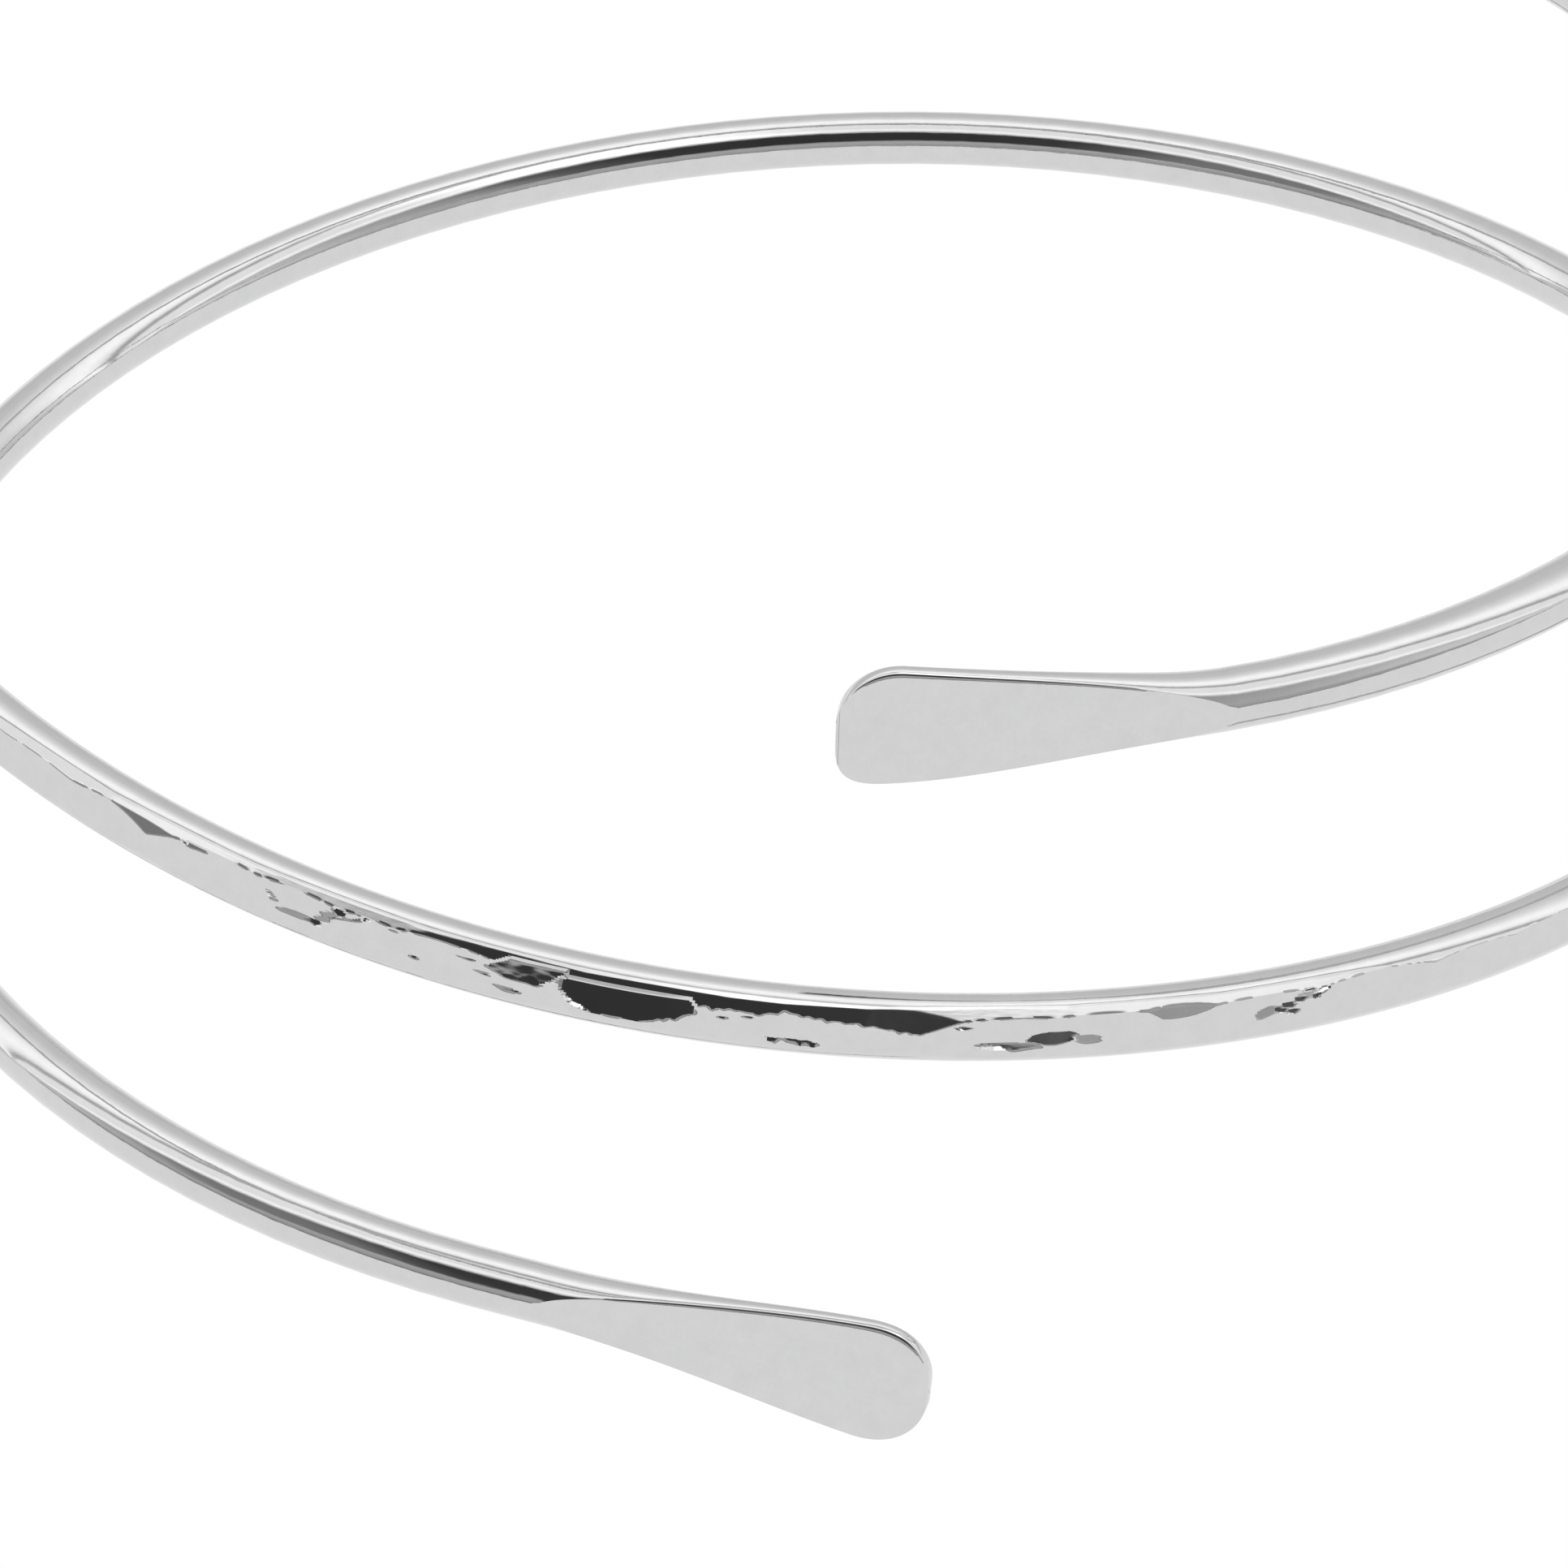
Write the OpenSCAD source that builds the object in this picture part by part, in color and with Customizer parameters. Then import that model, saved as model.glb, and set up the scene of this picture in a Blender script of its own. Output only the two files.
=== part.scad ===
// Upper arm cuff: one length of round metal wire, wound into an open coil of about two turns.
// Both ends are beaten out into flat blades, and the outer face of the middle strand is hammered.
// The coil climbs clockwise, seen from above. The cuff stands as it rests by itself: on the edge of
// its lower blade and on the back of its lower turn, with its axis leaned a few degrees.
// The origin is on the floor, below the middle of the cuff, and the front faces -Y.

/* [Wire] */
// Diameter of the round wire
wire_d = 2.45; // [1.6:0.05:4]

/* [Coil] */
// Radius of the coil, from its axis to the middle of the wire
coil_r = 42; // [34:0.5:55]
// Rise of the coil in one whole turn
pitch = 16.8; // [10:0.2:26]
// Turns of round wire between the shoulders of the two blades
turns = 1.893; // [1.6:0.001:2.2]

/* [Blades] */
// Length of the lower blade, from its shoulder to its tip
lower_blade_l = 16.9; // [10:0.1:24]
// Width of the lower blade where it is widest
lower_blade_w = 5.9; // [4.2:0.1:8]
// Length of the beaten flat of the lower blade, from its point to the tip
lower_flat_l = 16.3; // [8:0.1:24]
// Straight wire between the coil and the shoulder of the lower blade
lower_straight_l = 1.8; // [0:0.1:10]
// Length of the upper blade, from its shoulder to its tip
upper_blade_l = 15.8; // [10:0.1:24]
// Width of the upper blade where it is widest
upper_blade_w = 5.3; // [4.2:0.1:8]
// How far the point of the upper flat reaches past the blade's shoulder into the round wire
upper_flat_reach = 0.9; // [0.1:0.1:3]
// Thickness of both blades at their tips
blade_t = 0.7; // [0.4:0.05:1.4]
// Length of the rounded tip of the lower blade
lower_tip_l = 3; // [1:0.1:5]
// Length of the rounded tip of the upper blade
upper_tip_l = 2.8; // [1:0.1:5]

/* [Hammering] */
// Length of the hammered stretch, centred on the middle of the wire
hammer_l = 92; // [40:1:140]
// Depth of a full blow below the round of the wire
hammer_depth = 0.36; // [0.1:0.02:0.6]
// Radius of the hammer's domed face
hammer_dome_r = 24; // [12:1:60]
// How much wider than the wire the hammering leaves the strand, as a share
hammer_spread = 1.1; // [1:0.01:1.15]

/* [Hidden] */

wire_r = wire_d / 2;
turn_l = 2 * PI * coil_r;

// How the coil differs from an even helix, with one row for each quarter turn from the front.
// The columns are the radius, as a share of coil_r, and the rise, as a share of pitch.
RADIUS = 0;
RISE = 1;
ROUTE = [
    [0.94, 0],
    [0.97, 0.21],
    [1, 0.55],
    [1.02, 0.81],
    [1.05, 1.09],
    [1.045, 1.52],
    [0.995, 1.61],
    [0.955, 1.61],
    [0.905, 1.64],
];
rows_per_turn = 4;
last_row = len(ROUTE) - 1;

// Azimuth of the first row of the route
front_deg = -100;
// Turn of the route at which each blade's shoulder lies, and the turn where the lower straight begins
lower_shoulder = 0.015;
upper_shoulder = lower_shoulder + turns;
straight_turn = lower_shoulder + lower_straight_l / turn_l;
lower_tip = lower_shoulder - lower_blade_l / turn_l;
upper_tip = upper_shoulder + upper_blade_l / turn_l;
lower_flat_turn = lower_tip + lower_flat_l / turn_l;
upper_flat_turn = upper_shoulder - upper_flat_reach / turn_l;
middle_turn = (lower_shoulder + upper_shoulder) / 2;

// Where along a blade its edges begin and end their spreading, as shares of its length
spread_from = 0.05;
spread_to = 1;
// The upper blade's top edge spreads sooner. How full it is: 1 is a straight taper
upper_fullness = 1.75;
// How much sooner the blades thin at their shoulders than toward their tips: 1 is a straight taper
thinning = 4;
// How square each corner of the tips is: 2 is round
lower_corner_above = 2.6;
lower_corner_below = 2.1;
upper_corner_above = 2;
upper_corner_below = 4;

// One row for each blow of the hammer, from the strand's left end to its right end, seen from outside.
// The columns are its place, as a share of half the hammered length, how far the flat is
// tipped up, in degrees, its depth, as a share of hammer_depth, and its tilt along the wire, in degrees.
BLOWS = [
    [0.97, 4, 0.35, 0],
    [0.88, 6, 0.55, 0],
    [0.80, 8, 0.80, 1],
    [0.70, 0, 0.70, -1],
    [0.55, 12, 0.95, 0],
    [0.45, 5, 0.85, 1],
    [0.38, 10, 0.95, 0],
    [0.33, 8, 0.90, -2],
    [0.28, 20, 0.75, 3],
    [0.20, 32, 0.62, 0],
    [0.11, -3, 0.75, 1],
    [0.03, -4, 0.70, -1],
    [-0.04, 34, 0.55, 0],
    [-0.12, 5, 0.95, 0],
    [-0.19, 6, 0.90, 1],
    [-0.25, 20, 0.60, -1],
    [-0.33, 4, 0.92, 0],
    [-0.44, 6, 0.85, 1],
    [-0.56, 4, 0.85, 0],
    [-0.67, 6, 0.75, -1],
    [-0.78, 2, 0.60, 0],
    [-0.88, 6, 0.50, 1],
    [-0.97, 4, 0.35, 0],
];

// Sections along the wire, and points round each section
plain_step = 5 / 360;
hammer_step_l = 0.9;
blade_sections = 10;
tip_sections = 8;
sides = 16;
// The last section stops this share short of the tip, and closes it with a small flat
tip_end = 0.995;
// A short step along the route, for its direction
small = 0.0005;
// A hammered flat ends where it turns this far from the blow's own direction
flat_reach_deg = 80;
// Share of half the hammered length over which the wire widens at each end
widening = 0.5;

function unit(v) = v / norm(v);
function clamp(x, low, high) = max(low, min(high, x));
function ease(x) = let (c = clamp(x, 0, 1)) c * c * (3 - 2 * c);

// The route's rows, joined by a smooth curve that runs straight on past both ends
function row_slope(i, col) =
    i == 0 ? ROUTE[1][col] - ROUTE[0][col]
    : i == last_row ? ROUTE[i][col] - ROUTE[i - 1][col]
    : (ROUTE[i + 1][col] - ROUTE[i - 1][col]) / 2;
function route_share(turn, col) =
    let (
        i = clamp(floor(rows_per_turn * turn), 0, last_row - 1),
        past = rows_per_turn * turn - i,
        x = clamp(past, 0, 1),
        from = ROUTE[i][col],
        to = ROUTE[i + 1][col],
        slope_from = row_slope(i, col),
        slope_to = row_slope(i + 1, col)
    )
    from + (to - from) * ease(x)
    + slope_from * x * pow(1 - x, 2) - slope_to * x * x * (1 - x)
    + slope_from * min(past, 0) + slope_to * max(past - 1, 0);

// Middle of the wire on the coil, its direction, and the way out from the axis
function azimuth(turn) = front_deg - 360 * turn;
function coil_point(turn) =
    let (r = coil_r * route_share(turn, RADIUS))
    [r * cos(azimuth(turn)), r * sin(azimuth(turn)), pitch * route_share(turn, RISE)];
function coil_dir(turn) = unit(coil_point(turn + small) - coil_point(turn - small));

// The same along the whole wire, whose lower end leaves the coil in a straight line
function wire_dir(turn) = coil_dir(max(turn, straight_turn));
function wire_point(turn) =
    coil_point(max(turn, straight_turn)) + wire_dir(turn) * turn_l * min(0, turn - straight_turn);
function wire_out(turn) =
    let (
        a = azimuth(max(turn, straight_turn)),
        radial = [cos(a), sin(a), 0],
        dir = wire_dir(turn)
    )
    unit(radial - dir * (radial * dir));
function wire_up(turn) = cross(wire_dir(turn), wire_out(turn));

// Half the width of a blade on one side, at a share of the way from its shoulder to its tip
function even_spread(along) = ease((along - spread_from) / (spread_to - spread_from));
function full_spread(along) = 1 - pow(1 - along, upper_fullness);
function blade_half(along, spread, w, l, tip_l, corner) =
    let (
        round_x = clamp((along * l - (l - tip_l)) / tip_l, 0, 1),
        half = wire_r + (w / 2 - wire_r) * spread
    )
    half * pow(1 - pow(round_x, corner), 1 / corner);
function lower_half(along, corner) =
    blade_half(along, even_spread(along), lower_blade_w, lower_blade_l, lower_tip_l, corner);
function upper_half(along, spread, corner) =
    blade_half(along, spread, upper_blade_w, upper_blade_l, upper_tip_l, corner);
// Half the thickness of a blade, at a share of the way from its flat's point to its tip
function blade_thick(along) = blade_t / 2 + (wire_r - blade_t / 2) * pow(1 - along, thinning);

// Distance of the hammered face from the middle of the wire, in the direction of an angle above level
function blow_face(blow, place_l, angle) =
    let (
        off = place_l - blow[0] * hammer_l / 2,
        face = wire_r - blow[2] * hammer_depth + off * off / (2 * hammer_dome_r) + off * tan(blow[3]),
        toward = cos(angle - blow[1])
    )
    toward > cos(flat_reach_deg) ? face / toward : wire_d;
function hammered_r(place_l, angle) =
    abs(place_l) > hammer_l / 2 ? wire_r
    : min([wire_r, for (blow = BLOWS) blow_face(blow, place_l, angle)]);
function spread_share(place_l) =
    1 + (hammer_spread - 1) * ease((1 - 2 * abs(place_l) / hammer_l) / widening);

// One section of the wire: its points, each as a distance out and a distance up
function section(turn) =
    let (
        low = clamp((lower_shoulder - turn) / (lower_shoulder - lower_tip), 0, tip_end),
        high = clamp((turn - upper_shoulder) / (upper_tip - upper_shoulder), 0, tip_end),
        along = max(low, high),
        above = low > 0 ? lower_half(low, lower_corner_above)
            : upper_half(high, full_spread(high), upper_corner_above),
        below = low > 0 ? lower_half(low, lower_corner_below)
            : upper_half(high, even_spread(high), upper_corner_below),
        low_flat = clamp((lower_flat_turn - turn) / (lower_flat_turn - lower_tip), 0, 1),
        high_flat = clamp((turn - upper_flat_turn) / (upper_tip - upper_flat_turn), 0, 1),
        thick = blade_thick(max(low_flat, high_flat)),
        place_l = (turn - middle_turn) * turn_l,
        // On a blade the points gather at the corners of its flats
        corner = max(45, acos(min(1, thick / wire_r)))
    )
    [for (i = [0:sides - 1])
        let (
            quarter = 4 * i / sides,
            // From the middle of the outer flat, up and round
            angle = quarter <= 0.5 ? 2 * quarter * corner
                : quarter <= 1.5 ? corner + (quarter - 0.5) * (180 - 2 * corner)
                : quarter <= 2.5 ? 180 + (quarter - 2) * 2 * corner
                : quarter <= 3.5 ? 180 + corner + (quarter - 2.5) * (180 - 2 * corner)
                : 360 + (quarter - 4) * 2 * corner,
            signed = angle > 180 ? angle - 360 : angle,
            r = along > 0 ? wire_r : hammered_r(place_l, signed),
            half = signed < 0 ? below : above
        )
        [clamp(r * cos(angle), -thick, thick),
            (along > 0 ? half : r * spread_share(place_l)) * sin(angle)]
    ];

// Turns of the route at which the wire has a section, from the lower tip to the upper one
function tip_share(k, l, tip_l) =
    1 - tip_l / l * (1 - min(tip_end, sin(90 * k / tip_sections)));
function blade_shares(l, tip_l) = [
    for (k = [1:blade_sections]) k / blade_sections * (1 - tip_l / l),
    for (k = [1:tip_sections]) tip_share(k, l, tip_l),
];
lower_shares = blade_shares(lower_blade_l, lower_tip_l);
upper_shares = blade_shares(upper_blade_l, upper_tip_l);
hammer_from = middle_turn - hammer_l / 2 / turn_l;
hammer_to = middle_turn + hammer_l / 2 / turn_l;
function evenly(from, to, step) =
    let (n = max(1, ceil((to - from) / step)))
    [for (k = [0:n - 1]) from + (to - from) * k / n];
STATIONS = [
    for (k = [len(lower_shares) - 1:-1:0]) lower_shoulder - lower_shares[k] * lower_blade_l / turn_l,
    each evenly(lower_shoulder, hammer_from, plain_step),
    each evenly(hammer_from, hammer_to, hammer_step_l / turn_l),
    each evenly(hammer_to, upper_flat_turn, plain_step),
    upper_flat_turn,
    upper_shoulder,
    for (share = upper_shares) upper_shoulder + share * upper_blade_l / turn_l,
];

// The wire's surface points about the upright coil
COIL_POINTS = [
    for (turn = STATIONS)
        let (middle = wire_point(turn), out = wire_out(turn), up = wire_up(turn))
        for (p = section(turn)) middle + p[0] * out + p[1] * up
];

// The floor that the loose coil comes to rest on. It touches the lower blade's edge, and the wire
// straight across the coil's middle from it, where the floor also follows the wire's own slope.
heel_turn = lower_shoulder - (lower_blade_l - lower_tip_l) / turn_l;
heel = wire_point(heel_turn) - wire_up(heel_turn) * lower_blade_w / 2;
coil_middle = [for (axis = [0:2]) mean([for (turn = STATIONS) wire_point(turn)[axis]])];
across_deg = atan2(coil_middle[1] - heel[1], coil_middle[0] - heel[0]);
across_turn = (front_deg - across_deg + 360) / 360;
back = wire_point(across_turn) - wire_up(across_turn) * wire_r;
function mean(v) = sum(v) / len(v);
function sum(v, i = 0) = i == len(v) ? 0 : v[i] + sum(v, i + 1);

floor_up = unit(cross(wire_dir(across_turn), back - heel));
floor_x = unit([1, 0, 0] - floor_up * floor_up[0]);
floor_y = cross(floor_up, floor_x);
LEANED = [for (p = COIL_POINTS) [p * floor_x, p * floor_y, p * floor_up]];
low_corner = [for (axis = [0:2]) min([for (p = LEANED) p[axis]])];
high_corner = [for (axis = [0:2]) max([for (p = LEANED) p[axis]])];
origin = [(low_corner[0] + high_corner[0]) / 2, (low_corner[1] + high_corner[1]) / 2, low_corner[2]];

// Triangles between one section and the next, and a fan over each tip
function skin(rings) = [
    for (k = [0:rings - 2], i = [0:sides - 1])
        let (a = k * sides + i, b = k * sides + (i + 1) % sides, c = a + sides, d = b + sides)
        each [[a, c, b], [b, c, d]]
];
function cap(first) = [for (i = [1:sides - 2]) [first, first + i, first + i + 1]];
function turned(faces) = [for (f = faces) [f[0], f[2], f[1]]];

module arm_cuff() {
    rings = len(STATIONS);
    color("silver")
        translate(-origin)
            polyhedron(
                points = LEANED,
                faces = concat(
                    skin(rings), cap(0), turned(cap((rings - 1) * sides))
                ),
                convexity = 8
            );
}

arm_cuff();
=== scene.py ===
# %% [markdown]
# # Upper arm cuff of coiled silver wire
# The cuff is one length of round wire. It is wound into an open coil of about two turns, both ends
# are beaten out into flat blades, and the outer face of the strand in front is hammered.
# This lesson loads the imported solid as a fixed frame, draws the wire's route in plain numbers, and
# lets a Geometry Nodes tree sweep, flatten and hammer it. A mirror-polished silver, a light tent and
# the camera finish it.

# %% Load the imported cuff
from math import acos, atan2, cos, degrees, pi, radians, sin, tan

import bpy
import numpy as np
from mathutils import Matrix, Vector


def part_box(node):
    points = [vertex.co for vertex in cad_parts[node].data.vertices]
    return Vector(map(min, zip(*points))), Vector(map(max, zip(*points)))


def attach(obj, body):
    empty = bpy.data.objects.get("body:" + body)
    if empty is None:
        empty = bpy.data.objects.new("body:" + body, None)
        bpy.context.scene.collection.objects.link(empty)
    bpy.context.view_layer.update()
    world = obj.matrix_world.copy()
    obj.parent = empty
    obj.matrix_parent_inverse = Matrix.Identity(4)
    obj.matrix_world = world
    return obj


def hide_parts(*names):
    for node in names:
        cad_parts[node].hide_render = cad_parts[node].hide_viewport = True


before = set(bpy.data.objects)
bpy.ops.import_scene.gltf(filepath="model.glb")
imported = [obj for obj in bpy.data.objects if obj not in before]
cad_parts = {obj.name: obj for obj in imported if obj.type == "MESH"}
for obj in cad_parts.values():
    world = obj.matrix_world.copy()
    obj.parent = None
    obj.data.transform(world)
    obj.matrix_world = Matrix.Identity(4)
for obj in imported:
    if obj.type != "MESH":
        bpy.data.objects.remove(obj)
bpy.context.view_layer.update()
MM = 0.001


def in_mm(lengths):
    return np.round(np.array(lengths) / MM, 2).tolist()


# %% [markdown]
# ## Sizes
# All lengths are in metres. They are the real sizes of the cuff, so that the swept wire lies
# exactly where the solid is. A blade's two corners say how square its tip is above and below: 2
# gives an ellipse, and a higher number a squarer corner. Its rim is the length over which the tip
# is rubbed round, and soft says how soft its upper edge is.

# %% Sizes of the wire and its coil
wire_r = 2.45 * MM / 2
coil_r = 42 * MM
pitch = 16.8 * MM
turns = 1.893
turn_l = 2 * pi * coil_r
front_deg = -100

lower_blade = dict(length=16.9 * MM, width=5.9 * MM, tip=3 * MM, corner_above=2.6, corner_below=2.1,
                   flat=16.3 * MM, rim=0.12 * MM, soft=0.7)
upper_blade = dict(length=15.8 * MM, width=5.3 * MM, tip=2.8 * MM, corner_above=2.0, corner_below=4.0,
                   flat=16.7 * MM, rim=0.28 * MM, soft=0.5)
lower_straight = 1.8 * MM
blade_t = 0.7 * MM
thinning, upper_fullness = 4, 1.75
soft_low, soft_high = radians(5), radians(60)
spread_from, spread_to, spread_blend = 0.05, 1.0, 0.15

hammer_l = 92 * MM
hammer_spread = 1.1
widening = 0.5

lower_shoulder = 0.015
upper_shoulder = lower_shoulder + turns
straight_turn = lower_shoulder + lower_straight / turn_l
lower_tip = lower_shoulder - lower_blade["length"] / turn_l
upper_tip = upper_shoulder + upper_blade["length"] / turn_l
middle_turn = (lower_shoulder + upper_shoulder) / 2
print("wire from tip to tip, in mm:", in_mm((upper_tip - lower_tip) * turn_l))

# %% [markdown]
# ## The wire's route
# A hand-wound coil is never an even helix. A short table says how its radius and its rise run on,
# with one row for each quarter turn, and a smooth curve joins the rows. The lower end leaves the
# coil in a straight line. Writing the route as a formula keeps it free of drawn points.

# %% The route's rows, a quarter turn apart
ROUTE = np.array([  # radius as a share of coil_r, rise as a share of pitch
    (0.94, 0.00),
    (0.97, 0.21),
    (1.00, 0.55),
    (1.02, 0.81),
    (1.05, 1.09),
    (1.045, 1.52),
    (0.995, 1.61),
    (0.955, 1.61),
    (0.905, 1.64),
])
RADIUS, RISE = 0, 1
rows_per_turn = 4
row_slope = np.gradient(ROUTE, axis=0)


def ease(x):
    x = np.clip(x, 0, 1)
    return x * x * (3 - 2 * x)


def route_share(turn, column):
    """A column of the route at a turn, running straight on past both ends of the table."""
    i = np.clip(np.floor(rows_per_turn * turn).astype(int), 0, len(ROUTE) - 2)
    past = rows_per_turn * turn - i
    x = np.clip(past, 0, 1)
    start, stop = ROUTE[i, column], ROUTE[i + 1, column]
    slope_in, slope_out = row_slope[i, column], row_slope[i + 1, column]
    return (start + (stop - start) * ease(x)
            + slope_in * x * (1 - x) ** 2 - slope_out * x * x * (1 - x)
            + slope_in * np.minimum(past, 0) + slope_out * np.maximum(past - 1, 0))


# %% Middle of the wire, and the ways along, out and up
def unit(v):
    return v / np.linalg.norm(v, axis=-1, keepdims=True)


def coil_point(turn):
    angle = np.radians(front_deg) - 2 * pi * turn
    r = coil_r * route_share(turn, RADIUS)
    return np.stack([r * np.cos(angle), r * np.sin(angle), pitch * route_share(turn, RISE)], -1)


def wire_dir(turn, step=0.0005):
    turn = np.maximum(turn, straight_turn)
    return unit(coil_point(turn + step) - coil_point(turn - step))


def wire_point(turn):
    past_straight = np.minimum(0, turn - straight_turn)[..., None] * turn_l
    return coil_point(np.maximum(turn, straight_turn)) + wire_dir(turn) * past_straight


def wire_out(turn):
    angle = np.radians(front_deg) - 2 * pi * np.maximum(turn, straight_turn)
    radial = np.stack([np.cos(angle), np.sin(angle), 0 * angle], -1)
    along = wire_dir(turn)
    return unit(radial - along * (radial * along).sum(-1, keepdims=True))


def wire_up(turn):
    return np.cross(wire_dir(turn), wire_out(turn))


print("middle of the wire at both tips, in mm:", in_mm(wire_point(np.array([lower_tip, upper_tip]))))


# %% [markdown]
# ## How the cuff rests
# The loose coil leans by itself. It stands on the edge of its lower blade and on the back of its
# lower turn. The floor is the plane through those two, along the wire's own slope at the back.

# %% The plane that the coil rests on
route_samples = 240
heel_turn = np.array(lower_shoulder - (lower_blade["length"] - lower_blade["tip"]) / turn_l)
heel = wire_point(heel_turn) - wire_up(heel_turn) * lower_blade["width"] / 2
route_middle = wire_point(np.linspace(lower_tip, upper_tip, route_samples)).mean(0)
across_deg = degrees(atan2(route_middle[1] - heel[1], route_middle[0] - heel[0]))
across_turn = np.array((front_deg - across_deg + 360) / 360)
back = wire_point(across_turn) - wire_up(across_turn) * wire_r
floor_up = unit(np.cross(wire_dir(across_turn), back - heel))
floor_x = unit(np.array([1, 0, 0]) - floor_up * floor_up[0])
floor_y = np.cross(floor_up, floor_x)
LEAN = np.stack([floor_x, floor_y, floor_up])
coil_axis = LEAN @ np.array([0, 0, 1])
print("the coil's axis leans by, in degrees:", round(degrees(acos(coil_axis[2])), 1))

# %% [markdown]
# ## The route as a line of points
# The nodes need a line to sweep along. Each of its points carries what the section there depends
# on: the ways out and up, the distance from the middle of the wire, and how far along a blade it
# is. The points lie close together where the hammering and the blades' tips need them.

# %% Places of the sections along the wire
plain_step = 2.2 * MM
light_step = 0.35 * MM
hammer_step = 0.1 * MM
marks_l = 62 * MM
fine_from = 0.15
blade_step = 0.5 * MM
point_step, point_l = 0.15 * MM, 2.4 * MM
point_angle, gather_l = radians(18), 10 * MM
tip_steps = 24
tip_end = 0.9995


def blade_shares(blade):
    """Shares of a blade's length, close together over its round tip."""
    tip_from = blade["length"] - blade["tip"]
    flat = np.concatenate([np.arange(point_step, point_l, point_step),
                           np.arange(point_l, tip_from, blade_step)])
    tip = tip_from + blade["tip"] * tip_end * np.sin(np.linspace(0, pi / 2, tip_steps))
    return np.concatenate([flat, tip]) / blade["length"]


def evenly(start, stop, step):
    return np.linspace(start, stop, max(2, round((stop - start) * turn_l / step)), endpoint=False)


hammer_from = middle_turn - hammer_l / 2 / turn_l
hammer_to = middle_turn + hammer_l / 2 / turn_l
marks_from = middle_turn - marks_l / 2 / turn_l
marks_to = middle_turn + marks_l / 2 / turn_l
stations = np.concatenate([
    (lower_shoulder - blade_shares(lower_blade) * lower_blade["length"] / turn_l)[::-1],
    evenly(lower_shoulder, hammer_from, plain_step),
    evenly(hammer_from, marks_from, light_step),
    evenly(marks_from, marks_to, hammer_step),
    evenly(marks_to, hammer_to, light_step),
    evenly(hammer_to, upper_tip - upper_blade["flat"] / turn_l, plain_step),
    evenly(upper_tip - upper_blade["flat"] / turn_l, upper_shoulder, point_step),
    [upper_shoulder],
    upper_shoulder + blade_shares(upper_blade) * upper_blade["length"] / turn_l,
])
print("sections along the wire:", len(stations))


# %% [markdown]
# ## Blades
# A blade is the wire's end, beaten thin on a flat anvil. The metal can only go sideways, so the
# blade grows wide as it grows thin. Its flat begins as a point on the side of the round wire, and
# the thickness falls by a power law: steeply at first, and hardly at all towards the tip. The edge
# above the flat is left a little soft, and the tip's rim is rubbed round. Formulas of the share of
# the way to the tip give all this, so the blade runs out of the wire without a step.

# %% Half the width and half the thickness of the blades
def blade_half(share, spread, blade, corner):
    """Half the width of a blade on one side, at a share of the way from its shoulder to its tip."""
    tip_from = 1 - blade["tip"] / blade["length"]
    round_x = np.clip((share - tip_from) / (1 - tip_from), 0, 1)
    half = wire_r + (blade["width"] / 2 - wire_r) * spread
    return half * (1 - round_x ** corner) ** (1 / corner)


def even_spread(share):
    return ease((share - spread_from) / (spread_to - spread_from))


def full_spread(share):
    """A quick start, rounded off where the blade leaves the wire, and a straight edge after it."""
    started = np.clip(share + spread_blend, 0, 2 * spread_blend) ** 2 / (4 * spread_blend)
    return 1 - (1 - np.maximum(started, share)) ** upper_fullness


def section_sizes(turn):
    """Half width above and below the middle of the wire, and half the thickness."""
    low = np.clip((lower_shoulder - turn) / (lower_shoulder - lower_tip), 0, 1)
    high = np.clip((turn - upper_shoulder) / (upper_tip - upper_shoulder), -spread_blend, 1)
    place = (turn - middle_turn) * turn_l
    hammered = wire_r * (1 + (hammer_spread - 1) * ease((1 - 2 * abs(place) / hammer_l) / widening))

    def half(side, spread):
        lower = blade_half(low, even_spread(low), lower_blade, lower_blade[side])
        upper = blade_half(high, spread(high), upper_blade, upper_blade[side])
        return np.where(low > 0, lower, np.where(high > -spread_blend, upper, hammered))

    low_flat = np.clip(1 - (turn - lower_tip) * turn_l / lower_blade["flat"], 0, 1)
    high_flat = np.clip(1 - (upper_tip - turn) * turn_l / upper_blade["flat"], 0, 1)
    thick = blade_t / 2 + (wire_r - blade_t / 2) * (1 - np.maximum(low_flat, high_flat)) ** thinning
    for to_tip, blade in ((turn - lower_tip, lower_blade), (upper_tip - turn, upper_blade)):
        thick = thick * np.sqrt(1 - np.clip(1 - to_tip * turn_l / blade["rim"], 0, 1) ** 2)
    return half("corner_above", full_spread), half("corner_below", even_spread), thick


shoulders = np.array([lower_shoulder, upper_shoulder])
print("half widths and half thickness at the shoulders, in mm:", in_mm(section_sizes(shoulders)))

# %% [markdown]
# ## The sections' own numbers
# Every section has the same count of points, so a flat needs points right on its two corners. The
# corner angle of a section says where these are: it opens from the flat's point along the blade,
# and closes to an even ring away from it. Numbers hung on a line's points are run along the swept
# skin by the nodes, so each point of the skin knows its section.

# %% Draw the line and hang the sizes on its points
def add_attribute(mesh, name, kind, values):
    key = "vector" if kind == "FLOAT_VECTOR" else "value"
    mesh.attributes.new(name, kind, "POINT").data.foreach_set(key, np.asarray(values, np.float32).ravel())


def line_object(name, points):
    mesh = bpy.data.meshes.new(name)
    mesh.from_pydata([tuple(p) for p in points], [(i, i + 1) for i in range(len(points) - 1)], [])
    line = bpy.data.objects.new(name, mesh)
    bpy.context.scene.collection.objects.link(line)
    return line


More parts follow.
